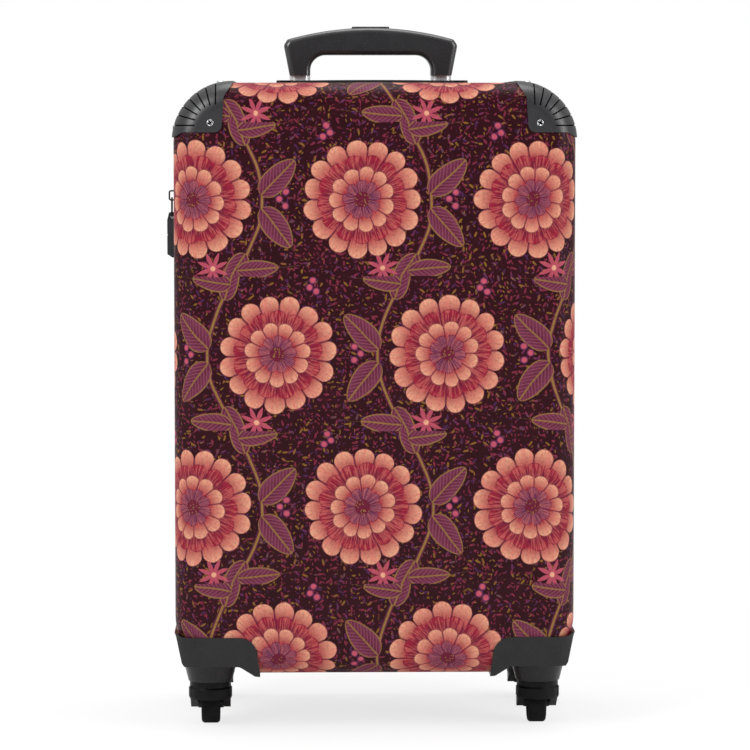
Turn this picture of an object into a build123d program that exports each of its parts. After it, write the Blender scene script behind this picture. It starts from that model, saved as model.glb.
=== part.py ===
from build123d import *
import os

# A hard cabin suitcase on four swivelling wheels, in millimetres.
# It stands on the floor at z = 0, its printed front faces -Y and +X is to the viewer's right.
# The seam between its two halves is the plane y = 0, and the origin is on the floor below the middle.

# Case
case_width = 350.0
case_height = 517.0
case_depth = 220.0
floor_gap = 51.0
corner_radius = 51.0
face_round = 20.0
shell_wall = 2.2
seam_width = 20.0

# Wheel wells moulded into the lower corners
well_width = 72.0
well_height = 22.0
well_seam_gap = 27.0
well_round = 12.0

# Top corner guards, as distances from the case's upper corner
guard_wall = 1.6
guard_seam_gap = 12.0
guard_reach_top = 52.0
guard_reach_side = 47.5
guard_inner_x = 42.0
guard_lower_edge = 43.0
guard_neck_x = 2.0
guard_neck_down = 12.0
guard_tip = 8.0
guard_neck_round = 10.0
guard_inner_round = 7.0
guard_tip_round = 6.0
groove_count = 7
groove_width = 1.1
groove_depth = 0.8
groove_centre = 37.0
groove_start = 18.0
groove_run_back = 50.0
groove_length = 80.0

# Screws
screw_head_radius = 3.5
screw_head_height = 1.4
screw_head_sunk = 1.0
screw_radius = 1.5
screw_length = 4.4
guard_screw_x = 32.2
guard_screw_down = 34.7
guard_screw_back = 60.0
guard_screw_edge = 40.0

# Wheel housings on the lower corners
housing_rim = 33.6
housing_tip_up = 3.6
housing_reach = 74.5
housing_under = 8.0
housing_seam_gap = 25.0
housing_corner = 16.0
housing_tip_proud = 0.6
housing_tip_run = 7.0
housing_tip_round = 4.0
housing_draft = 4.5
housing_foot_inner = 0.8
housing_foot_outer = 0.4
housing_foot_run = 18.0
housing_foot_round = 8.0
housing_side_in = 8.0
housing_side_step = 3.0
housing_side_foot = 5.9
housing_side_rim = 0.9
housing_screws_at = ((16.0, 83.0), (50.0, 51.0))

# Casters
caster_inset = 30.0
caster_seam_gap = 67.0
wheel_diameter = 37.0
wheel_width = 16.4
wheel_edge = 3.0
tyre_depth = 5.0
trail = 16.0
crown_radius = 19.2
crown_neck_radius = 18.2
crown_height = 15.6
crown_edge = 0.8
crown_edge_up = 2.0
crown_waist = 0.6
crown_neck = 0.7
crown_gap = 0.4
boss_drop = 10.0
boss_radius = 19.4
boss_flare = 4.6
boss_sunk = 2.0
cheek_inner = 11.6
cheek_wall = 6.0
cheek_root_width = 17.4
cheek_root_height = 9.0
cheek_eye_wall = 1.8
axle_radius = 2.5
stem_radius = 3.0
stem_head_radius = 5.5
stem_head_height = 3.0
stem_head_gap = 0.5
stem_head_down = 4.5
stem_grip = 6.0
fork_slot_front = 7.0
fork_slot_up = 3.0
running_gap = 0.05
wheel_gap = 1.5
hub_end_gap = 0.2
hub_boss_wall = 2.4
hub_root = 1.0
hub_web = 4.0
hub_rim_wall = 1.6
hub_rim_root = 0.4
hub_rim_margin = 1.0

# Zip
zip_slit = 1.2
tape_wall = 1.2
tape_width = 15.4
coil_width = 2.4
coil_height = 1.6
gusset_height = 340.0
gusset_gap = 2.0
gusset_wall = 0.9
soft_gap = 0.3
slider_down = 100.0
slider_length = 12.0
slider_width = 8.4
slider_wall = 1.9
slider_inner_wall = 1.0
slider_round = 2.0
slider_sunk = 0.2
bridge_reach = 7.6
bridge_wire = 1.4
bridge_round = 2.4
bridge_inner_round = 1.0
link_wire = 0.7
link_length = 17.0
link_width = 8.0
tab_length = 41.0
tab_width = 9.5
tab_thick = 6.8
tab_foot_thick = 7.6
tab_proud = 8.8
tab_neck = 1.6
tab_neck_near = 1.2
tab_neck_length = 7.0
tab_neck_near_length = 4.0
tab_round = 1.2
tab_collar_up = 20.0
tab_collar_height = 0.9
tab_collar_depth = 0.5
tab_collar_tilt = 14.0
tab_foot_up = 13.0
tab_heel = 2.4
tab_toe = 3.6
link_proud = 4.6
link_round = 2.4
link_inner_round = 1.2
eye_share = 1.42
eye_gap = 0.25
bridge_foot = 1.2

# Lining and what is sewn to it
lining_gap = 2.0
lining_wall = 0.8
lining_seam_gap = 12.0
lining_round = 10.0
channel_depth = 44.0
strap_width = 25.0
strap_wall = 1.4
strap_spread = 230.0
buckle_margin = 4.5
buckle_wall = 5.0
buckle_height = 44.0
buckle_window = 12.0
buckle_round = 6.0
pocket_width = 280.0
pocket_height = 190.0
pocket_wall = 1.2
pocket_drop = 60.0
pocket_round = 10.0

# Telescopic handle
tube_pitch = 129.4
tube_back_gap = 26.0
inner_tube_width = 19.0
inner_tube_depth = 12.0
tube_wall = 1.1
tube_gap = 0.3
glide_gap = 0.1
glide_height = 6.0
plug_length = 14.0
plug_gap = 0.05
glide_rest = 1.0
bezel_width = 184.0
bezel_depth = 40.0
bezel_proud = 1.0
bezel_skirt = 9.0
bezel_wall = 2.0
bezel_lip = 4.0
bezel_round = 16.0
bracket_height = 18.0
bracket_width = 168.0
bracket_floor = 5.0
bracket_margin = 4.0
bracket_round = 8.0
grip_clear = 6.8
grip_width = 159.0
grip_depth = 26.0
grip_height = 43.4
grip_beam = 24.9
grip_shoulder = 27.5
grip_round = 5.0
arch_inset = 3.5
arch_drop = 10.6
arch_round = 2.5
shoulder_round = 5.0
palm_round = 14.0
cover_mid = 7.2
cover_end = 10.3
cover_end_in = 13.0
button_length = 34.5
button_width = 12.0
button_proud = 1.2
button_travel = 3.0
button_gap = 0.4
button_round = 3.6
button_edge = 1.0
yoke_height = 3.5
yoke_width = 6.0
yoke_down = 2.0
yoke_over = 3.0
rod_radius = 1.2
rod_gap = 0.4
spring_radius = 3.0
spring_wall = 0.8

# Carry handle on top
carry_length = 164.0
carry_width = 24.0
carry_wall = 2.2
carry_rise = 0.8
carry_clear = 0.2
carry_seam_gap = 13.0
carry_end_length = 16.0
carry_end_height = 2.9
carry_end_back = 4.0
carry_end_margin = 2.5
carry_end_round = 4.0
carry_end_edge = 1.0

# Places that follow from the sizes above
half_width = case_width / 2
half_depth = case_depth / 2
case_top = floor_gap + case_height
case_middle = floor_gap + case_height / 2
axle_z = wheel_diameter / 2
caster_x = half_width - caster_inset
boss_base = floor_gap - boss_drop
crown_top = boss_base - crown_gap
crown_base = crown_top - crown_height
tube_y = half_depth - tube_back_gap
middle_tube_width = inner_tube_width + 2 * (tube_wall + tube_gap)
middle_tube_depth = inner_tube_depth + 2 * (tube_wall + tube_gap)
outer_tube_width = middle_tube_width + 2 * (tube_wall + tube_gap)
outer_tube_depth = middle_tube_depth + 2 * (tube_wall + tube_gap)
bezel_top = case_top + bezel_proud
grip_base = bezel_top + grip_clear
grip_top = grip_base + grip_height
slider_height = case_top - slider_down
grip_under = grip_top - grip_beam
bracket_base = floor_gap + shell_wall
outer_tube_foot = bracket_base + bracket_floor
middle_tube_foot = outer_tube_foot + glide_height + glide_rest
inner_tube_foot = middle_tube_foot + plug_length + glide_height + glide_rest
yoke_base = grip_top - cover_end - yoke_height - yoke_down
yoke_half = tube_pitch / 2 + yoke_over
link_x = -half_width - link_proud
link_top = slider_height - slider_length / 2 + bridge_foot + bridge_wire + link_wire + soft_gap
link_foot = link_top - link_length
eye_radius = eye_share * link_wire + eye_gap


def left_right(shape):
    """The same piece on the case's other side."""
    return mirror(shape, about=Plane.YZ)


def to_rear(shape):
    """The same piece on the case's other half."""
    return mirror(shape, about=Plane.XZ)


def upright(profile, start, length):
    """A front-view profile (x, z) given depth from y = -start to y = -(start + length)."""
    return extrude(Plane.XZ.offset(start) * profile, length)


def rounded_polygon(points, rounds):
    """A closed polygon whose numbered corners are rounded."""
    face = make_face(Polyline(*points, close=True))
    for index, radius in rounds.items():
        corner = face.vertices().sort_by_distance((*points[index], 0))[0]
        face = fillet(corner, radius)
    return face


def case_block(inset, open_gap, face_gap, rounding):
    """The front half of the case as a solid, from the seam side to its face, inset from the outside."""
    outline = Pos(0, case_middle) * RectangleRounded(
        case_width - 2 * inset, case_height - 2 * inset, corner_radius - inset
    )
    block = upright(outline, open_gap, face_gap - open_gap)
    return fillet(block.faces().sort_by(Axis.Y)[0].edges(), rounding)


def wheel_wells(inset):
    """The two stepped-up lower corners of the front half, grown by the inset."""
    width = well_width + inset
    height = well_height + inset
    depth = half_depth - well_seam_gap + inset
    well = Pos(-half_width, -half_depth, floor_gap) * Box(
        2 * width, 2 * depth, 2 * height
    )
    inner_edge = well.edges().filter_by(Axis.Z).sort_by(Axis.X)[2:].sort_by(Axis.Y)[1]
    well = fillet(inner_edge, well_round)
    return well + left_right(well)


def case_outside():
    """The front half's outer form, which guards and housings are fitted to."""
    return case_block(0, seam_width / 2, half_depth, face_round) - wheel_wells(0)


def half_shell():
    inside = case_block(shell_wall, 0, half_depth - shell_wall, face_round - shell_wall)
    return case_outside() - (inside - wheel_wells(shell_wall))


def half_lining(floor_depth, rounding):
    """A sewn tray that lines a half, open towards the seam."""
    outer = shell_wall + lining_gap
    inner = outer + lining_wall
    outside = case_block(outer, lining_seam_gap, floor_depth, rounding) - wheel_wells(outer)
    inside = case_block(
        inner, lining_seam_gap - 1, floor_depth - lining_wall, rounding - lining_wall
    )
    return outside - (inside - wheel_wells(inner))


def ring(outer_inset, inner_inset, near, far):
    """A band that follows the case's outline, between two distances from the seam plane."""
    outer = RectangleRounded(
        case_width - 2 * outer_inset, case_height - 2 * outer_inset, corner_radius - outer_inset
    )
    inner = RectangleRounded(
        case_width - 2 * inner_inset, case_height - 2 * inner_inset, corner_radius - inner_inset
    )
    return upright(Pos(0, case_middle) * (outer - inner), near, far - near)


def zip_tape():
    """Tape and coil round three sides of a half; the fabric hinge takes the fourth."""
    near = zip_slit / 2
    tape = ring(shell_wall, shell_wall + tape_wall, near, near + tape_width)
    coil = ring(shell_wall - coil_height, shell_wall, near, near + coil_width)
    gap = Pos(half_width, 0, case_middle) * Box(
        corner_radius, case_depth, gusset_height + 2 * gusset_gap
    )
    return tape + coil - gap


def hinge_gusset():
    """The fabric strip that hinges the halves on the right side."""
    reach = zip_slit / 2 + tape_width
    outer_x = half_width - shell_wall - soft_gap
    return Pos(outer_x - gusset_wall / 2, 0, case_middle) * Box(
        gusset_wall, 2 * reach, gusset_height
    )


def screw(length=screw_length):
    """A pan-head screw with the underside of its head at z = 0, pointing down."""
    head = Pos(0, 0, screw_head_height / 2) * Cylinder(screw_head_radius, screw_head_height)
    head = chamfer(head.faces().sort_by(Axis.Z)[-1].edges(), screw_head_height / 2)
    return head + Pos(0, 0, -length / 2) * Cylinder(screw_radius, length)


def guard_screws():
    """The screws of the upper left front guard: on its face, its top and its side."""
    sunk = guard_wall - screw_head_sunk
    face = Pos(
        guard_screw_x - half_width, -half_depth - sunk, case_top - guard_screw_down
    ) * Rot(90, 0, 0)
    top = Pos(
        guard_screw_edge - half_width, guard_screw_back - half_depth, case_top + sunk
    )
    side = Pos(
        -half_width - sunk, guard_screw_back - half_depth, case_top - guard_screw_edge
    ) * Rot(0, -90, 0)
    return [place * screw() for place in (face, top, side)]


def guard_region():
    """The front-view outline that a top corner guard covers."""
    beyond = 4 * guard_wall
    points = [
        (-beyond, -beyond),
        (guard_reach_top, -beyond),
        (guard_reach_top, 0),
        (guard_inner_x + guard_neck_x, guard_neck_down),
        (guard_inner_x, guard_lower_edge),
        (guard_tip, guard_lower_edge),
        (0, guard_reach_side),
        (-beyond, guard_reach_side),
    ]
    placed = [(x - half_width, case_top - z) for x, z in points]
    return rounded_polygon(placed, {3: guard_neck_round, 4: guard_inner_round, 5: guard_tip_round})


def top_guard():
    """The upper left front corner guard, with grooves fanning out from its face."""
    skin = case_block(-guard_wall, guard_seam_gap, half_depth + guard_wall, face_round + guard_wall)
    guard = skin & upright(guard_region(), 0, case_depth)
    floor = case_block(
        groove_depth - guard_wall,
        0,
        half_depth + guard_wall - groove_depth,
        face_round + guard_wall - groove_depth,
    )
    slots = []
    for step in range(groove_count):
        angle = 90 + 90 * step / (groove_count - 1)
        slot = Pos(groove_centre - half_width, case_top - groove_centre) * Rot(0, 0, angle) * Pos(
            groove_start + groove_length / 2, 0
        ) * Rectangle(groove_length, groove_width)
        slots.append(upright(slot, half_depth - groove_run_back, 2 * groove_run_back))
    guard = guard - (Part() + slots - floor)
    guard = guard - case_block(0, 0, half_depth, face_round)
    return guard - guard_screws()


def housing_region():
    """The front-view outline of the lower left housing, without its caster boss."""
    left, rim = -half_width, floor_gap + housing_rim
    under = floor_gap + housing_under
    points = [
        (left - housing_tip_proud, rim + housing_tip_up),
        (left + housing_tip_run, rim),
        (left + housing_reach - housing_draft, rim),
        (left + housing_reach, floor_gap - housing_foot_inner),
        (left + housing_reach - housing_draft, floor_gap - housing_foot_outer),
        (left + housing_reach - housing_foot_run, under),
        (left + housing_side_in, under),
        (left + housing_side_foot, under + housing_side_step),
        (left + housing_side_rim, rim),
    ]
    return rounded_polygon(
        points, {2: housing_corner, 5: housing_foot_round, 1: housing_tip_round}
    )


def housing_screws():
    """Two screws from inside the case, down through the well's ceiling into the housing."""
    ceiling = floor_gap + well_height + shell_wall
    return [Pos(x - half_width, -y, ceiling) * screw() for x, y in housing_screws_at]


def stem_clearance():
    bore = Cylinder(stem_radius + running_gap, 4 * well_height)
    pocket_floor = floor_gap + well_height - stem_head_height - stem_head_down - stem_head_gap
    pocket = Pos(0, 0, pocket_floor) * Cylinder(
        stem_head_radius + stem_head_gap, case_height, align=(Align.CENTER, Align.CENTER, Align.MIN)
    )
    return Pos(0, 0, floor_gap) * bore + pocket


def wheel_housing():
    """The lower left front housing: a skin round the corner, filled under the well, and a boss."""
    depth = half_depth + guard_wall - housing_seam_gap
    body = upright(housing_region(), housing_seam_gap, depth)
    bounds = Pos(0, -half_depth - guard_wall, case_middle) * Box(
        case_width + 4 * guard_wall,
        case_depth,
        2 * case_height,
        align=(Align.CENTER, Align.MIN, Align.CENTER),
    )
    bounds = fillet(bounds.edges().filter_by(Axis.Z).sort_by(Axis.Y)[:2], face_round + guard_wall)
    body = body & bounds
    boss_profile = Polyline(
        (0, boss_base),
        (boss_radius, boss_base),
        (boss_radius + boss_flare, floor_gap + housing_under),
        (boss_radius + boss_flare, floor_gap + housing_under + boss_sunk),
        (0, floor_gap + housing_under + boss_sunk),
        close=True,
    )
    boss = revolve(Plane.XZ * make_face(boss_profile), Axis.Z)
    place = Pos(-caster_x, -caster_seam_gap, 0)
    body = body + place * boss - case_outside() - place * stem_clearance()
    shell_inside = case_block(shell_wall / 2, 0, half_depth - shell_wall, face_round - shell_wall)
    return body - (shell_inside - wheel_wells(0)) - housing_screws()


def fork():
    """A caster fork on the axis x = y = 0, its wheel trailing towards +Y."""
    profile = Polyline(
        (0, crown_base),
        (crown_radius - crown_edge, crown_base),
        (crown_radius, crown_base + crown_edge_up),
        (crown_radius, crown_base + crown_height * crown_waist),
        (crown_neck_radius, crown_base + crown_height * crown_neck),
        (crown_neck_radius, crown_top),
        (0, crown_top),
        close=True,
    )
    crown = revolve(Plane.XZ * make_face(profile), Axis.Z)
    root = Pos(0, crown_top - cheek_root_height) * Rectangle(cheek_root_width, cheek_root_height)
    side = Pos(trail, axle_z) * Circle(axle_radius + cheek_eye_wall) + root
    cheek = extrude(Plane.YZ.offset(cheek_inner) * make_hull(side.edges()), cheek_wall)
    body = crown + cheek + left_right(cheek)
    slot = Pos(0, -fork_slot_front, 0) * Box(
        2 * cheek_inner,
        6 * trail,
        2 * (crown_base + fork_slot_up),
        align=(Align.CENTER, Align.MIN, Align.CENTER),
    )
    sweep = Pos(0, trail, axle_z) * Rot(0, 90, 0) * Cylinder(axle_z + wheel_gap, 2 * cheek_inner)
    body = body - slot - sweep
    body = body - Pos(0, trail, axle_z) * Rot(0, 90, 0) * Cylinder(axle_radius, 6 * cheek_inner)
    return body - Cylinder(stem_radius, 4 * crown_top)


def swivel_stem():
    """The pin the fork turns on, headed inside the housing."""
    foot = crown_top - stem_grip
    head_base = floor_gap + well_height - stem_head_height - stem_head_down
    shaft = Cylinder(stem_radius, head_base - foot, align=(Align.CENTER, Align.CENTER, Align.MIN))
    head = Cylinder(
        stem_head_radius, stem_head_height, align=(Align.CENTER, Align.CENTER, Align.MIN)
    )
    return Pos(0, 0, foot) * shaft + Pos(0, 0, head_base) * head


def wheel_axle():
    half = cheek_inner + cheek_wall
    return Pos(0, trail, axle_z) * Rot(0, 90, 0) * Cylinder(axle_radius, 2 * half)


def wheel_hub():
    """A moulded hub: a long boss, a thin web and a rim seat for the tyre."""
    seat = axle_z - tyre_depth
    half = wheel_width / 2
    boss_end = cheek_inner - hub_end_gap
    bore = axle_radius + running_gap
    boss = bore + hub_boss_wall
    root = boss + hub_root
    web = hub_web / 2
    rim = half - hub_rim_margin
    inner = seat - hub_rim_wall
    profile = Polyline(
        (-boss_end, bore),
        (-boss_end, boss),
        (-web, root),
        (-web, inner - hub_rim_root),
        (-rim, inner),
        (-rim, seat),
        (rim, seat),
        (rim, inner),
        (web, inner - hub_rim_root),
        (web, root),
        (boss_end, boss),
        (boss_end, bore),
        close=True,
    )
    return Pos(0, trail, axle_z) * revolve(make_face(profile), Axis.X)


def tyre():
    seat = axle_z - tyre_depth
    half = wheel_width / 2
    section = Pos(0, (seat + axle_z) / 2) * Rectangle(2 * half, tyre_depth)
    tread = section.vertices().sort_by(Axis.Y)[2:]
    return Pos(0, trail, axle_z) * revolve(fillet(tread, wheel_edge), Axis.X)


def slot_tube(width, depth, wall, foot, head):
    """A flat-oval tube standing at the handle's depth."""
    outside = SlotOverall(width, depth)
    inside = SlotOverall(width - 2 * wall, depth - 2 * wall)
    return Pos(0, tube_y, foot) * extrude(outside - inside, head - foot)


def slot_block(width, depth, foot, head):
    return Pos(0, tube_y, foot) * extrude(SlotOverall(width, depth), head - foot)


def glide(own_width, own_depth, next_width, next_depth, foot):
    """A foot that plugs a tube and runs inside the next larger one, bored for the lock rod."""
    flange = slot_block(
        next_width - 2 * (tube_wall + glide_gap),
        next_depth - 2 * (tube_wall + glide_gap),
        foot - glide_height,
        foot,
    )
    plug = slot_block(
        own_width - 2 * (tube_wall + plug_gap),
        own_depth - 2 * (tube_wall + plug_gap),
        foot,
        foot + plug_length,
    )
    bore = Pos(0, tube_y, 0) * Cylinder(rod_radius + rod_gap, 4 * case_height)
    return flange + plug - bore


def pair(shape):
    """Two separate copies at the two tubes."""
    half = tube_pitch / 2
    return Compound([Pos(-half, 0, 0) * shape, Pos(half, 0, 0) * shape])


def bezel_skirt_outline(inset):
    return RectangleRounded(
        bezel_width - 2 * inset, bezel_depth - 2 * inset, bezel_round - inset
    )


def handle_bezel():
    """The frame let into the top of the case, with a guide sleeve round each tube."""
    plate = Pos(0, tube_y, case_top) * extrude(
        RectangleRounded(bezel_width, bezel_depth, bezel_round), bezel_proud
    )
    skirt = bezel_skirt_outline(bezel_lip)
    hollow = bezel_skirt_outline(bezel_lip + bezel_wall)
    walls = Pos(0, tube_y, case_top - bezel_skirt) * extrude(skirt - hollow, bezel_skirt)
    sleeve = slot_block(
        outer_tube_width + 2 * bezel_wall,
        outer_tube_depth + 2 * bezel_wall,
        case_top - bezel_skirt,
        case_top,
    )
    socket = slot_block(outer_tube_width, outer_tube_depth, 0, case_top - bezel_wall)
    mouth = slot_block(
        middle_tube_width + 2 * tube_gap, middle_tube_depth + 2 * tube_gap, 0, 2 * case_top
    )
    return plate + walls + pair(sleeve) - pair(socket) - pair(mouth)


def bezel_opening():
    """The hole that the bezel's skirt drops into."""
    outline = bezel_skirt_outline(bezel_lip)
    return Pos(0, tube_y, case_top - bezel_skirt) * extrude(outline, 2 * bezel_skirt)


def tube_bracket():
    """The foot beam that carries both outer tubes on the case's floor."""
    beam = Pos(0, tube_y, bracket_base) * extrude(
        RectangleRounded(bracket_width, outer_tube_depth + 2 * bracket_margin, bracket_round),
        bracket_height,
    )
    room = case_block(shell_wall, 0, half_depth - shell_wall, face_round - shell_wall)
    return (beam & to_rear(room)) - pair(
        slot_block(outer_tube_width, outer_tube_depth, outer_tube_foot, case_top)
    )


def grip_outline():
    """The grip's front view, from its arched top to the two legs."""
    half_top = grip_width / 2 - arch_inset
    shoulder = grip_base + grip_shoulder
    leg_outer = (tube_pitch + inner_tube_width) / 2
    leg_inner = (tube_pitch - inner_tube_width) / 2
    arch_end = grip_top - arch_drop
    arch = ThreePointArc((-half_top, arch_end), (0, grip_top), (half_top, arch_end))
    rest = Polyline(
        (half_top, arch_end),
        (grip_width / 2, shoulder),
        (leg_outer, grip_base),
        (leg_inner, grip_base),
        (leg_inner, grip_under),
        (-leg_inner, grip_under),
        (-leg_inner, grip_base),
        (-leg_outer, grip_base),
        (-grip_width / 2, shoulder),
        (-half_top, arch_end),
    )
    face = make_face(Curve() + arch + rest)
    inner = [(s * leg_inner, grip_under) for s in (-1, 1)]
    outer = [(s * grip_width / 2, shoulder) for s in (-1, 1)]
    arch_tips = [(s * half_top, arch_end) for s in (-1, 1)]
    for points, radius in ((inner, palm_round), (outer, shoulder_round), (arch_tips, arch_round)):
        for point in points:
            face = fillet(face.vertices().sort_by_distance((*point, 0))[0], radius)
    return face


def grip_solid():
    body = upright(grip_outline(), -grip_depth / 2, grip_depth)
    sides = body.faces().filter_by(Axis.Y).edges()
    feet = [e for e in sides if e.center().Z < grip_base + 0.1]
    return Pos(0, tube_y, 0) * fillet([e for e in sides if e not in feet], grip_round)


def cover_region():
    """Everything above the grip's parting line."""
    half = grip_width / 2 + cover_end_in
    end_x = grip_width / 2 - cover_end_in
    end = grip_top - cover_mid - (cover_end - cover_mid) * (half / end_x) ** 2
    above = grip_top + grip_height
    arc = ThreePointArc((-half, end), (0, grip_top - cover_mid), (half, end))
    rest = Polyline((half, end), (half, above), (-half, above), (-half, end))
    return Pos(0, tube_y, 0) * upright(make_face(Curve() + arc + rest), -grip_depth, 2 * grip_depth)


def button_space():
    """The room inside the grip for the button, its yoke and their travel."""
    plate = Pos(0, tube_y, yoke_base - button_travel - button_gap) * extrude(
        RectangleRounded(
            button_length + 2 * button_gap, button_width + 2 * button_gap, button_round + button_gap
        ),
        grip_height,
    )
    channel = Pos(0, tube_y, yoke_base - button_travel - button_gap) * Box(
        2 * (yoke_half + button_gap),
        yoke_width + 2 * button_gap,
        yoke_height + button_travel + 2 * button_gap,
        align=(Align.CENTER, Align.CENTER, Align.MIN),
    )
    rod_bore = Cylinder(
        rod_radius + rod_gap, 2 * grip_height, align=(Align.CENTER, Align.CENTER, Align.MAX)
    )
    rods = pair(Pos(0, tube_y, yoke_base + yoke_height) * rod_bore)
    return plate + channel + rods


def grip_cover():
    return grip_solid() & cover_region() - button_space()


def grip_shell():
    """The lower part of the grip, with a spigot that plugs each inner tube."""
    spigot = slot_block(
        inner_tube_width - 2 * tube_wall - 2 * plug_gap,
        inner_tube_depth - 2 * tube_wall - 2 * plug_gap,
        grip_base - plug_length,
        grip_base + grip_round,
    )
    return grip_solid() - cover_region() + pair(spigot) - button_space()


def grip_button():
    """The push button, with the yoke that carries the two lock rods."""
    cap = Pos(0, tube_y, yoke_base) * extrude(
        RectangleRounded(button_length, button_width, button_round),
        grip_top + button_proud - yoke_base,
    )
    cap = fillet(cap.faces().sort_by(Axis.Z)[-1].edges(), button_edge)
    yoke = Pos(0, tube_y, yoke_base) * Box(
        2 * yoke_half, yoke_width, yoke_height, align=(Align.CENTER, Align.CENTER, Align.MIN)
    )
    return cap + yoke - pair(Pos(0, tube_y, yoke_base) * Cylinder(rod_radius, 2 * yoke_height))


def lock_rod():
    foot = inner_tube_foot - glide_height + glide_rest
    return Pos(0, tube_y, foot) * Cylinder(
        rod_radius, yoke_base + yoke_height - foot, align=(Align.CENTER, Align.CENTER, Align.MIN)
    )


def button_spring():
    """The spring's outer form, between the grip shell's pocket and the yoke."""
    room = button_travel + button_gap
    body = Cylinder(spring_radius, room) - Cylinder(spring_radius - spring_wall, room)
    return Pos(0, tube_y, yoke_base - room / 2) * body


def carry_strap():
    """The low flexible carry handle, arched a little above the top."""
    half = carry_length / 2
    base = case_top + carry_clear
    under = ThreePointArc((-half, base), (0, base + carry_rise), (half, base))
    over = ThreePointArc(
        (half, base + carry_wall), (0, base + carry_wall + carry_rise), (-half, base + carry_wall)
    )
    ends = Line((half, base), (half, base + carry_wall)) + Line(
        (-half, base + carry_wall), (-half, base)
    )
    strap = upright(make_face(Curve() + under + ends + over), 0, carry_width)
    return Pos(0, carry_seam_gap + carry_width, 0) * strap


def carry_end():
    """A cap screwed to the shell over one end of the carry handle."""
    middle = carry_seam_gap + carry_width / 2
    outline = RectangleRounded(carry_end_length, carry_width + 2 * carry_end_margin, carry_end_round)
    body = Pos(carry_length / 2 - carry_end_back, middle, case_top) * extrude(outline, carry_end_height)
    return fillet(body.faces().sort_by(Axis.Z)[-1].edges(), carry_end_edge)


def zip_slider():
    """The slider on the zip's left run: two plates joined through the slit, and a bridge."""
    coil_x = -half_width + shell_wall - coil_height
    outer_x = coil_x - soft_gap
    inner_x = -half_width + shell_wall + tape_wall + soft_gap
    outer = Pos(outer_x - slider_wall / 2, 0, slider_height) * Box(
        slider_wall, slider_width, slider_length
    )
    outer = fillet(outer.edges().filter_by(Axis.X), slider_round)
    inner = Pos(inner_x + slider_inner_wall / 2, 0, slider_height) * Box(
        slider_inner_wall, slider_width, slider_length
    )
    neck = Pos((outer_x + inner_x) / 2, 0, slider_height) * Box(
        inner_x - outer_x + slider_sunk, zip_slit - 2 * eye_gap, slider_length / 2
    )
    base_x = outer_x - slider_wall
    reach = bridge_reach + half_width + base_x
    half = slider_length / 2 - bridge_foot
    arch_out = RectangleRounded(2 * reach, 2 * half, bridge_round)
    arch_in = RectangleRounded(
        2 * (reach - bridge_wire), 2 * (half - bridge_wire), bridge_inner_round
    )
    arch = Pos(base_x, slider_height) * (arch_out - arch_in)
    arch = upright(arch, -bridge_wire / 2, bridge_wire)
    keep = Pos(base_x + slider_sunk, 0, slider_height) * Box(
        2 * bridge_reach, slider_width, 2 * slider_length, align=(Align.MAX, Align.CENTER, Align.CENTER)
    )
    return outer + inner + neck + (arch & keep)


def pull_link():
    """The wire link that hangs through the slider's bridge."""
    height = link_length + 2 * link_wire
    outer = RectangleRounded(link_width + 2 * link_wire, height, link_round)
    inner = RectangleRounded(link_width, height - 4 * link_wire, link_inner_round)
    wire = extrude(Plane.YZ * (outer - inner), 2 * link_wire)
    return Pos(link_x - link_wire, 0, (link_top + link_foot) / 2) * wire


def pull_tab():
    """The moulded pull: a slim neck, a collar and a thicker slanted foot."""
    top = link_foot + 4 * link_wire + tab_neck
    foot = top - tab_length
    collar_z = foot + tab_collar_up
    out = -half_width - tab_proud
    near = out + tab_thick
    near_foot = out + tab_foot_thick
    points = [
        (out + tab_neck, top),
        (near - tab_neck_near, top),
        (near, top - tab_neck_near_length),
        (near, collar_z - tab_collar_height),
        (near_foot, foot + tab_foot_up),
        (near_foot, foot + tab_heel),
        (near_foot - tab_heel, foot),
        (out, foot + tab_toe),
        (out, collar_z - tab_collar_height),
        (out, top - tab_neck_length),
    ]
    profile = rounded_polygon(points, {0: tab_round, 6: tab_round})
    body = upright(profile, -tab_width / 2, tab_width)
    around = Box(4 * tab_width, 4 * tab_width, tab_collar_height)
    kept = Box(
        tab_thick - 2 * tab_collar_depth, tab_width - 2 * tab_collar_depth, 2 * tab_collar_height
    )
    collar = Pos((out + near) / 2, 0, collar_z) * Rot(0, tab_collar_tilt, 0) * (around - kept)
    eye = Pos(link_x, 0, link_foot) * Rot(90, 0, 0) * Cylinder(eye_radius, 2 * tab_width)
    beside = Pos(link_x, link_width / 2 - eye_gap, link_foot - eye_radius) * Box(
        4 * tab_width, tab_width, tab_length, align=(Align.CENTER, Align.MIN, Align.MIN)
    )
    return body - collar - eye - beside - to_rear(beside)


def packing_strap():
    """One elastic strap lying on the rear lining's floor, with its buckle half-way."""
    floor_y = half_depth - channel_depth - lining_wall
    return Pos(0, floor_y - strap_wall / 2, 0) * Box(
        strap_width, strap_wall, case_height - 2 * corner_radius
    )


def strap_buckle():
    floor_y = half_depth - channel_depth - lining_wall - strap_wall
    place = Pos(0, floor_y - buckle_wall / 2, case_middle)
    body = place * Box(strap_width + 2 * buckle_margin, buckle_wall, buckle_height)
    body = fillet(body.edges().filter_by(Axis.Y), buckle_round)
    window = place * Box(strap_width - 2 * buckle_margin, 2 * buckle_wall, buckle_window)
    return body - window


def lining_pocket():
    """A flat sewn pocket on the front lining's floor."""
    floor_y = -(half_depth - shell_wall - lining_gap - lining_wall)
    panel = Pos(0, case_middle - pocket_drop) * RectangleRounded(pocket_width, pocket_height, pocket_round)
    return upright(panel, -floor_y - pocket_wall, pocket_wall)


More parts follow.
